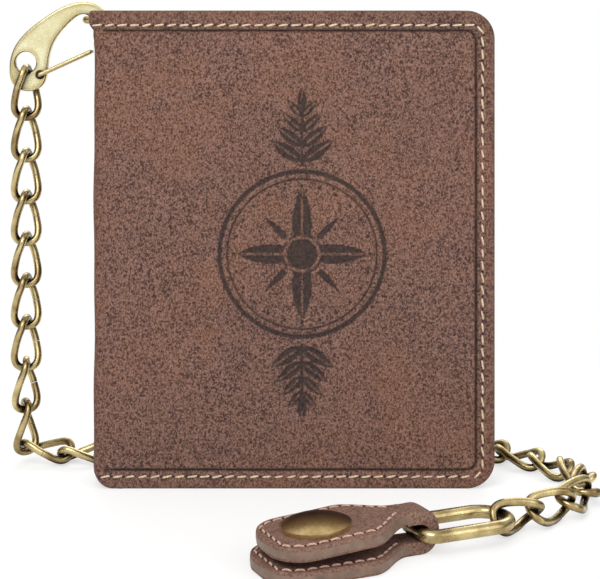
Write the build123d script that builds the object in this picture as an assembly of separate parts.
from build123d import *
import math
import os

# Chain wallet, millimetres.  +X right, +Y back, +Z up.  The origin is the centre of the base
# of the closed wallet, which stands upright on its lower edge with the spine on the left.

# ---- closed wallet -------------------------------------------------------------------
WIDTH = 100.0
HEIGHT = 119.0
THICKNESS = 18.0
LEFT = -WIDTH / 2
RIGHT = WIDTH / 2
FRONT = -THICKNESS / 2
BACK = THICKNESS / 2
COVER_LEATHER = 1.6
PADDING = 1.2
LINING = 0.8
CORNER_RADIUS = 7.0
PANEL = 0.8
SLOT_SHEET = 0.6
INNER_LEFT = LEFT + 4.0
INNER_RIGHT = RIGHT - 2.0

# ---- middle wing with its clear window -----------------------------------------------
WING_THICKNESS = 1.0
WING_LEFT = LEFT + 3.2
WING_RIGHT = RIGHT - 4.0
WING_HEIGHT = 108.0
WINDOW_WIDTH = 62.0
WINDOW_HEIGHT = 82.0
WINDOW_FILM = 0.3
WINDOW_HEM = 3.0

# ---- coin pocket on the back ---------------------------------------------------------
COIN_LEFT = -30.0
COIN_RIGHT = 38.0
COIN_BOTTOM = 14.0
COIN_TOP = 85.0
COIN_DEPTH = 6.5
COIN_WALL = 1.0
COIN_MOUTH = 16.0
FLAP_GAP = 0.9
FLAP_THICKNESS = 1.2
FLAP_DROP = 36.0
FLAP_CORNER = 8.0

# ---- press studs ---------------------------------------------------------------------
CAP_DIAMETER = 15.2
CAP_HEIGHT = 2.8
COIN_CAP_DIAMETER = 12.0
COIN_CAP_HEIGHT = 2.0
KNOB_DIAMETER = 3.6
SLEEVE_BORE = 4.2
SLEEVE_DIAMETER = 5.0
STUD_FLANGE = 9.0

# ---- curb chain ----------------------------------------------------------------------
LINK_WIRE = 1.9
LINK_HALF_LENGTH = 6.6
LINK_HALF_WIDTH = 3.2
LINK_TWIST_RISE = 1.6
LINK_SQUARENESS = 2.3
LINK_PITCH = 11.0
LINK_BUTT_GAP = 0.06
LINK_POINTS = 28
HANGING_LINKS = 9
FLOOR_CLEARANCE = 0.05
HANGING_ROLL = -45.0
HANG_X = -70.6
HANG_Y = 14.6
FIRST_LINK_Z = 97.4
QUARTER_TURN_ROLL = -76.5
CORNER_OFFSET = (5.49, -0.06)
CORNER_Z = 3.68
CORNER_TURN = (151.3, 80.5, -51.0)
FLOOR_START = (15.75, -0.6)
FLOOR_HEADING = 5.7
# Each run of the chain along the floor: number of links, turn at each link, roll at each link.
FLOOR_RUNS = (
    (1, 16.0, 0.0),
    (1, 4.0, 0.0),
    (8, -7.0, 0.0),
    (2, -14.0, 0.0),
    (1, -16.0, -20.0),
    (2, -24.0, -20.0),
    (1, -20.0, -20.0),
    (1, -4.0, -20.0),
)

# ---- snap hook, D-ring and its tab ---------------------------------------------------
HOOK_THICKNESS = 2.4
HOOK_EDGE = 0.6
EYE_Z = 104.9
EYE_WIDTH = 5.4
EYE_TOP = 3.2
EYE_BOTTOM = -2.4
GATE_WIRE = 1.1
GATE_PIVOT = (3.8, -2.8)
GATE_TIP = (17.0, 3.2)
GATE_HALF_SPREAD = 1.9
GATE_HOLE = 1.4
# Outline of the hook body from its eye, in mm (right, up): over the top to the nose, back
# along the inner edge, then round the lobe below the eye.
HOOK_OUTLINE = (
    (-4.3, -0.8), (-2.5, 5.3), (4.3, 11.8), (11.7, 15.8), (18.2, 15.9), (22.6, 11.2),
    (22.7, 4.4), (20.3, 1.2), (18.0, 4.0), (18.2, 10.6), (15.4, 13.1), (11.7, 11.1),
    (7.0, 4.8), (5.7, -1.6), (4.9, -5.0), (0.6, -7.2), (-3.4, -5.3),
)
DRING_WIRE = 2.0
DRING_Y = BACK + 2.3
DRING_Z = 116.5
DRING_LEFT = -54.6
DRING_RIGHT = -38.0
DRING_DEPTH = 9.0
TAB_LEFT = -46.4
TAB_WIDTH = 5.8
TAB_BOTTOM = 99.0
TAB_LEATHER = 1.2
RIVET_Z = 103.5

# ---- end ring and belt strap ---------------------------------------------------------
RING_WIRE = 3.0
RING_LENGTH = 23.0
RING_WIDTH = 12.0
RING_CORNER = 3.0
RING_Z = 4.5
RING_TO_LINK = 3.45
STRAP_HEADING = 204.4
STRAP_LEATHER = 3.0
STRAP_WIDTH = 22.0
STRAP_WAIST = 7.0
STRAP_LENGTH = 38.0
WAIST_LENGTH = 3.4
SHOULDER_LENGTH = 12.0
STRAP_START = 3.0
UPPER_SHORTER = 1.4
UPPER_SLOPE = 4.0
UPPER_BOTTOM_AT_SNAP = 5.4
SNAP_AT = 24.0


def save(name, shape):
    shape.label = name
    export_step(shape, f"parts/{name}.step")


def box(x0, x1, y0, y1, z0, z1):
    size = (x1 - x0, y1 - y0, z1 - z0)
    return Pos((x0 + x1) / 2, (y0 + y1) / 2, (z0 + z1) / 2) * Box(*size)


def sheet(x0, x1, y0, y1, z0, z1, radius):
    """A flat sheet in the XZ plane with its right-hand corners rounded."""
    body = box(x0, x1, y0, y1, z0, z1)
    corners = body.edges().filter_by(Axis.Y).group_by(Axis.X)[-1]
    return fillet(corners, radius)


def disc(centre, direction, diameter, length):
    """A round bar that starts at centre and runs along direction."""
    place = Plane(origin=centre, z_dir=direction).location
    return place * Pos(0, 0, length / 2) * Cylinder(diameter / 2, length)


def dome(centre, direction, diameter, height):
    """A domed cap: the part of a sphere above a flat disc, on a short straight rim."""
    rim = height * 0.35
    rise = height - rim
    radius = (diameter * diameter / 4 + rise * rise) / (2 * rise)
    place = Plane(origin=centre, z_dir=direction).location
    ball = Pos(0, 0, height - radius) * Sphere(radius)
    bar = Pos(0, 0, height / 2) * Cylinder(diameter / 2, height)
    return place * (ball & bar)


# ---- wallet leather ------------------------------------------------------------------
COVER_START = LEFT + COVER_LEATHER
FRONT_PADDING = FRONT + COVER_LEATHER
FRONT_LINING = FRONT_PADDING + PADDING
FRONT_PANEL = FRONT_LINING + LINING
BACK_LINING = BACK - COVER_LEATHER
BACK_PANEL = BACK_LINING - LINING - 0.6


def front_half():
    slots = FRONT_PANEL + PANEL
    edge = RIGHT - 1.5
    save("front_cover_leather",
         sheet(COVER_START, RIGHT, FRONT, FRONT_PADDING, 0, HEIGHT, CORNER_RADIUS))
    save("front_cover_padding",
         sheet(COVER_START + 5, edge - 5, FRONT_PADDING, FRONT_LINING, 6, HEIGHT - 6, 3))
    save("front_cover_lining",
         sheet(COVER_START, edge, FRONT_LINING, FRONT_PANEL, 0.6, HEIGHT - 0.6, CORNER_RADIUS - 1))
    save("front_inner_panel",
         sheet(INNER_LEFT, INNER_RIGHT, FRONT_PANEL, slots, 0, HEIGHT - 9, 4))
    for count, name in enumerate(("upper", "middle", "lower")):
        near = slots + count * SLOT_SHEET
        top = 96 - 18 * count
        save(f"card_slot_{name}",
             sheet(INNER_LEFT + 3, INNER_RIGHT - 1, near, near + SLOT_SHEET, 2, top, 3))


def back_half():
    save("back_cover_leather",
         sheet(COVER_START, RIGHT, BACK_LINING, BACK, 0, HEIGHT, CORNER_RADIUS))
    save("back_cover_lining",
         sheet(COVER_START, RIGHT - 1.5, BACK_LINING - LINING, BACK_LINING, 0.6, HEIGHT - 0.6,
               CORNER_RADIUS - 1))
    save("back_inner_panel",
         sheet(INNER_LEFT, INNER_RIGHT, BACK_PANEL - PANEL, BACK_PANEL, 0, HEIGHT - 9, 4))


def spine():
    save("spine_leather", box(LEFT, COVER_START, FRONT, BACK, 0, HEIGHT))
    save("spine_lining",
         box(COVER_START, COVER_START + PANEL - 0.2, FRONT_PANEL + 0.2, BACK_LINING - LINING - 0.2,
             1, HEIGHT - 1))


def wing():
    half = WING_THICKNESS / 2
    middle = (WING_LEFT + WING_RIGHT) / 2
    base = (WING_HEIGHT - WINDOW_HEIGHT) / 2
    panel = sheet(WING_LEFT, WING_RIGHT, -half, half, 0, WING_HEIGHT, 5)
    opening = box(middle - WINDOW_WIDTH / 2, middle + WINDOW_WIDTH / 2, -half, half,
                  base, base + WINDOW_HEIGHT)
    film = box(middle - WINDOW_WIDTH / 2 - WINDOW_HEM, middle + WINDOW_WIDTH / 2 + WINDOW_HEM,
               -WINDOW_FILM / 2, WINDOW_FILM / 2, base - WINDOW_HEM, base + WINDOW_HEIGHT + WINDOW_HEM)
    save("wing_panel", panel - opening - film)
    save("wing_window", film)


# ---- coin pocket ---------------------------------------------------------------------
COIN_FACE = BACK + COIN_DEPTH
FLAP_NEAR = COIN_FACE + FLAP_GAP
FLAP_FAR = FLAP_NEAR + FLAP_THICKNESS
COIN_SNAP_X = (COIN_LEFT + COIN_RIGHT) / 2
COIN_SNAP_Z = COIN_TOP - FLAP_DROP + 9.0


def coin_pocket():
    shell = box(COIN_LEFT, COIN_RIGHT, BACK, COIN_FACE, COIN_BOTTOM, COIN_TOP)
    inside = box(COIN_LEFT + COIN_WALL, COIN_RIGHT - COIN_WALL, BACK + COIN_WALL,
                 COIN_FACE - COIN_WALL, COIN_BOTTOM + COIN_WALL, COIN_TOP - COIN_WALL)
    mouth = box(COIN_LEFT + COIN_WALL, COIN_RIGHT - COIN_WALL, COIN_FACE - COIN_WALL, COIN_FACE,
                COIN_TOP - COIN_MOUTH, COIN_TOP - COIN_WALL)
    lip = box(COIN_LEFT, COIN_RIGHT, COIN_FACE, FLAP_NEAR, COIN_TOP - COIN_WALL, COIN_TOP)
    save("coin_pouch", shell - inside - mouth + lip)

    backward = (0, 1, 0)
    foot = (COIN_SNAP_X, COIN_FACE, COIN_SNAP_Z)
    stud = disc(foot, backward, STUD_FLANGE, 0.5)
    stud += disc(foot, backward, KNOB_DIAMETER, FLAP_GAP + FLAP_THICKNESS - 0.3)
    save("coin_snap_stud", stud)

    flap = box(COIN_LEFT, COIN_RIGHT, FLAP_NEAR, FLAP_FAR, COIN_TOP - FLAP_DROP, COIN_TOP)
    flap = fillet(flap.edges().filter_by(Axis.Y).group_by(Axis.Z)[0], FLAP_CORNER)
    through = (COIN_SNAP_X, FLAP_NEAR, COIN_SNAP_Z)
    flap -= disc(through, backward, SLEEVE_DIAMETER, FLAP_THICKNESS)
    save("coin_flap", flap)
    outside = (COIN_SNAP_X, FLAP_FAR, COIN_SNAP_Z)
    cap = dome(outside, backward, COIN_CAP_DIAMETER, COIN_CAP_HEIGHT)
    cap += disc(through, backward, SLEEVE_DIAMETER, FLAP_THICKNESS)
    cap -= disc(through, backward, SLEEVE_BORE, FLAP_THICKNESS)
    save("coin_snap_cap", cap)


# ---- tab, D-ring and snap hook -------------------------------------------------------
def tab():
    middle = DRING_Y
    far = middle + DRING_WIRE / 2 + TAB_LEATHER + 0.1
    over = far - middle
    low = BACK + 2 * TAB_LEATHER
    side = Polyline((BACK, DRING_Z), (BACK, TAB_BOTTOM), (low, TAB_BOTTOM), (low, DRING_Z - 9),
                    (far, DRING_Z - 3), (far, DRING_Z))
    top = ThreePointArc((far, DRING_Z), (middle, DRING_Z + over), (BACK, DRING_Z))
    profile = make_face(side + top)
    place = Plane(origin=(TAB_LEFT, 0, 0), x_dir=(0, 1, 0), z_dir=(1, 0, 0)).location
    body = extrude(place * profile, amount=TAB_WIDTH)
    along = (1, 0, 0)
    body -= disc((TAB_LEFT, DRING_Y, DRING_Z), along, DRING_WIRE + 0.2, TAB_WIDTH)
    hole = (TAB_LEFT + TAB_WIDTH / 2, BACK, RIVET_Z)
    body -= disc(hole, (0, 1, 0), 2.4, 2 * TAB_LEATHER)
    save("dring_tab", body)
    rivet = disc(hole, (0, 1, 0), 2.4, 2 * TAB_LEATHER)
    rivet += dome((hole[0], BACK + 2 * TAB_LEATHER, RIVET_Z), (0, 1, 0), 4.6, 1.2)
    save("tab_rivet", rivet)


def wire_along(path, diameter):
    """Round wire of the given diameter along an open path."""
    start = path @ 0
    section = Plane(origin=start, z_dir=path % 0) * Circle(diameter / 2)
    return sweep(section, path=path)


def d_ring():
    corner = 2.2
    bend = corner * (1 - math.sqrt(0.5))
    middle = (DRING_LEFT + DRING_RIGHT) / 2
    z = DRING_Z
    half = Line((middle, DRING_Y, z), (DRING_LEFT + corner, DRING_Y, z))
    half += ThreePointArc((DRING_LEFT + corner, DRING_Y, z),
                          (DRING_LEFT + bend, DRING_Y + bend, z),
                          (DRING_LEFT, DRING_Y + corner, z))
    half += TangentArc((DRING_LEFT, DRING_Y + corner, z), (middle, DRING_Y + DRING_DEPTH, z),
                       tangent=(0, 1, 0))
    left = wire_along(Wire(half.edges()), DRING_WIRE)
    right = mirror(left, Plane(origin=(middle, 0, 0), z_dir=(1, 0, 0)))
    save("d_ring", left + right)


def hook_point(point):
    return (HANG_X + point[0], 0, EYE_Z + point[1])


def hook_body():
    edge = Spline(*[hook_point(point) for point in HOOK_OUTLINE], periodic=True)
    outline = make_face(Wire([edge]))
    eye = Pos(HANG_X, 0, EYE_Z + (EYE_TOP + EYE_BOTTOM) / 2) * (
        Plane.XZ * Ellipse(EYE_WIDTH / 2, (EYE_TOP - EYE_BOTTOM) / 2))
    plate = extrude(outline, amount=HOOK_THICKNESS / 2, both=True)
    plate -= extrude(eye, amount=HOOK_THICKNESS, both=True)
    flat_edges = plate.edges().group_by(Axis.Y)
    plate = fillet(flat_edges[0] + flat_edges[-1], HOOK_EDGE)
    pivot = hook_point(GATE_PIVOT)
    plate -= disc((pivot[0], -HOOK_THICKNESS, pivot[2]), (0, 1, 0), GATE_HOLE, 2 * HOOK_THICKNESS)
    save("snap_hook_body", Pos(0, HANG_Y, 0) * plate)


def hook_gate():
    """Sprung wire gate: two legs, a cross end at the nose and two stubs in the pivot hole."""
    pivot = hook_point(GATE_PIVOT)
    tip = hook_point(GATE_TIP)
    run = (tip[0] - pivot[0], 0, tip[2] - pivot[2])
    length = math.hypot(run[0], run[2])
    spread = GATE_HALF_SPREAD
    gate = disc((tip[0], -spread, tip[2]), (0, 1, 0), GATE_WIRE, 2 * spread)
    for side in (-1, 1):
        y = side * spread
        gate += disc((pivot[0], y, pivot[2]), run, GATE_WIRE, length)
        gate += Pos(pivot[0], y, pivot[2]) * Sphere(GATE_WIRE / 2)
        gate += Pos(tip[0], y, tip[2]) * Sphere(GATE_WIRE / 2)
        gate += disc((pivot[0], y, pivot[2]), (0, -side, 0), GATE_WIRE, spread - 0.2)
    save("hook_gate", Pos(0, HANG_Y, 0) * gate)


# ---- curb chain ----------------------------------------------------------------------
def link_point(turn):
    """A point of the link's wire centre: a squarish oval whose two sides twist apart."""
    c = math.cos(turn)
    s = math.sin(turn)
    power = 2 / LINK_SQUARENESS
    x = LINK_HALF_LENGTH * math.copysign(abs(c) ** power, c)
    y = LINK_HALF_WIDTH * math.copysign(abs(s) ** power, s)
    return Vector(x, y, LINK_TWIST_RISE * math.sin(2 * turn))


def link_solid():
    """One unwelded link, its butt gap in the middle of one side."""
    gap = LINK_BUTT_GAP / LINK_HALF_LENGTH
    start = math.pi / 2 + gap / 2
    step = (2 * math.pi - gap) / LINK_POINTS
    path = Spline(*[link_point(start + step * i) for i in range(LINK_POINTS + 1)])
    return wire_along(path, LINK_WIRE)


def half_height(roll):
    """How far the link reaches below its centre when it lies along the floor, rolled."""
    angle = math.radians(roll)
    lowest = 0
    for i in range(180):
        point = link_point(math.radians(2 * i))
        lowest = max(lowest, -point.Y * math.sin(angle) - point.Z * math.cos(angle))
    return lowest + LINK_WIRE / 2


def link_places():
    """The resting place of every link: hanging from the hook, then lying round the wallet."""
    places = []
    for i in range(HANGING_LINKS):
        share = max(0, i - HANGING_LINKS + 3) / 2
        roll = HANGING_ROLL + (QUARTER_TURN_ROLL - HANGING_ROLL) * share
        centre = (HANG_X, HANG_Y, FIRST_LINK_Z - LINK_PITCH * i)
        hanging = Plane(origin=centre, x_dir=(0, 0, -1), z_dir=(0, -1, 0)).location
        places.append(hanging * Location((0, 0, 0), (roll, 0, 0)))
    centre = (HANG_X + CORNER_OFFSET[0], HANG_Y + CORNER_OFFSET[1], CORNER_Z)
    hanging = Plane(origin=centre, x_dir=(0, 0, -1), z_dir=(0, -1, 0)).location
    places.append(hanging * Location((0, 0, 0), CORNER_TURN))
    heading = FLOOR_HEADING
    roll = 0
    x = HANG_X + FLOOR_START[0]
    y = HANG_Y + FLOOR_START[1]
    for count, turn, twist in ((1, 0.0, 0.0),) + FLOOR_RUNS:
        for _ in range(count):
            if len(places) > HANGING_LINKS + 1:
                x += LINK_PITCH / 2 * math.cos(math.radians(heading))
                y += LINK_PITCH / 2 * math.sin(math.radians(heading))
                heading += turn
                roll += twist
                x += LINK_PITCH / 2 * math.cos(math.radians(heading))
                y += LINK_PITCH / 2 * math.sin(math.radians(heading))
            z = half_height(roll) + FLOOR_CLEARANCE
            turned = Location((x, y, z), (0, 0, heading))
            places.append(turned * Location((0, 0, 0), (roll, 0, 0)))
    return places, heading


def chain():
    link = link_solid()
    for number, place in enumerate(link_places()[0], start=1):
        save(f"link_{number:02d}", place * link)


# ---- end ring and strap --------------------------------------------------------------
def strap_place():
    """The place of the strap: its local X runs along the strap from the ring's straight bar."""
    places, heading = link_places()
    last = places[-1].position
    angle = math.radians(heading)
    near_x = last.X + RING_TO_LINK * math.cos(angle)
    near_y = last.Y + RING_TO_LINK * math.sin(angle)
    along = math.radians(STRAP_HEADING)
    x = near_x + RING_LENGTH * math.cos(along)
    y = near_y + RING_LENGTH * math.sin(along)
    return Location((x, y, 0), (0, 0, STRAP_HEADING))


def end_ring():
    half_width = RING_WIDTH / 2
    bend = RING_CORNER * (1 - math.sqrt(0.5))
    side = -RING_LENGTH + half_width
    half = Line((0, 0, 0), (0, half_width - RING_CORNER, 0))
    half += ThreePointArc((0, half_width - RING_CORNER, 0), (-bend, half_width - bend, 0),
                          (-RING_CORNER, half_width, 0))
    half += Line((-RING_CORNER, half_width, 0), (side, half_width, 0))
    half += TangentArc((side, half_width, 0), (-RING_LENGTH, 0, 0), tangent=(-1, 0, 0))
    left = wire_along(Wire(half.edges()), RING_WIRE)
    ring = left + mirror(left, Plane.XZ)
    save("end_ring", strap_place() * Pos(0, 0, RING_Z) * ring)


def strap_outline(length):
    """Plan of one layer: a narrow waist that widens to the full width, with a rounded tip."""
    full = STRAP_WIDTH / 2
    waist = STRAP_WAIST / 2
    shoulder = WAIST_LENGTH + SHOULDER_LENGTH
    straight = length - full * 0.8
    upper = Line((STRAP_START, waist), (WAIST_LENGTH, waist))
    upper += Spline((WAIST_LENGTH, waist), (shoulder, full), tangents=((1, 0), (1, 0)))
    upper += Line((shoulder, full), (straight, full))
    tip = Spline((straight, full), (length, 0), (straight, -full), tangents=((1, 0), (-1, 0)))
    lower = mirror(upper, Plane.XZ)
    close = Line((STRAP_START, -waist), (STRAP_START, waist))
    return make_face(Wire((upper + tip + lower + close).edges()))


def upper_place():
    """The upper layer's own frame: its underside is the local Z = 0 plane, sloping down."""
    rise = SNAP_AT * math.sin(math.radians(UPPER_SLOPE))
    return Pos(0, 0, UPPER_BOTTOM_AT_SNAP + rise) * Rot(0, UPPER_SLOPE, 0)


def strap():
    place = strap_place()
    up = (0, 0, 1)
    snap = (SNAP_AT, 0, 0)
    post = 3.0
    lower = extrude(strap_outline(STRAP_LENGTH), amount=STRAP_LEATHER)
    lower -= disc(snap, up, post, STRAP_LEATHER)
    lower -= disc(snap, up, STUD_FLANGE, 0.8)
    save("strap_lower", place * lower)

    stud = disc(snap, up, post, STRAP_LEATHER)
    stud += disc(snap, up, STUD_FLANGE, 0.8)
    stud += disc((SNAP_AT, 0, STRAP_LEATHER), up, STUD_FLANGE, 0.7)
    stud += disc((SNAP_AT, 0, STRAP_LEATHER), up, KNOB_DIAMETER, 2.6)
    save("strap_snap_stud", place * stud)

    layer = place * upper_place()
    upper = extrude(strap_outline(STRAP_LENGTH - UPPER_SHORTER), amount=STRAP_LEATHER)
    upper -= disc(snap, up, SLEEVE_DIAMETER, STRAP_LEATHER)
    save("strap_upper", layer * upper)
    socket = disc((SNAP_AT, 0, -1.2), up, STUD_FLANGE + 1, 1.2)
    socket -= disc((SNAP_AT, 0, -1.2), up, SLEEVE_BORE, 1.2)
    save("strap_snap_socket", layer * socket)
    cap = dome((SNAP_AT, 0, STRAP_LEATHER), up, CAP_DIAMETER, CAP_HEIGHT)
    cap += disc(snap, up, SLEEVE_DIAMETER, STRAP_LEATHER)
    cap -= disc(snap, up, SLEEVE_BORE, STRAP_LEATHER)
    save("strap_snap_cap", layer * cap)


def strap_fold():
    """The bend of leather round the ring's straight bar, between the two layers."""
    top = (upper_place() * Pos(STRAP_START, 0, STRAP_LEATHER)).position
    under = (upper_place() * Pos(STRAP_START, 0, 0)).position
    low = 0
    inner = STRAP_LEATHER
    reach = -(RING_WIRE / 2 + 0.15)
    outer_reach = reach - STRAP_LEATHER + 0.2
    outside = Line((STRAP_START, low), (0, low))
    outside += Spline((0, low), (outer_reach, RING_Z), (0, top.Z + 0.1), (top.X, top.Z),
                      tangents=((-1, 0), (1, -0.07)))
    outside += Line((top.X, top.Z), (under.X, under.Z))
    outside += Spline((under.X, under.Z), (0.4, under.Z + 0.1), (reach, RING_Z), (0.4, inner),
                      tangents=((-1, 0.07), (1, 0)))
    outside += Line((0.4, inner), (STRAP_START, inner))
    outside += Line((STRAP_START, inner), (STRAP_START, low))
    profile = Plane.XZ * make_face(Wire(outside.edges()))
    fold = extrude(profile, amount=STRAP_WAIST / 2, both=True)
    fold -= Pos(0, 0, RING_Z) * Rot(90, 0, 0) * Cylinder(RING_WIRE / 2 + 0.1, 2 * STRAP_WAIST)
    save("strap_fold", strap_place() * fold)


def main():
    os.makedirs("parts", exist_ok=True)
    front_half()
    back_half()
    spine()
    wing()
    coin_pocket()
    tab()
    d_ring()
    hook_body()
    hook_gate()
    chain()
    end_ring()
    strap()
    strap_fold()


if __name__ == "__main__":
    main()
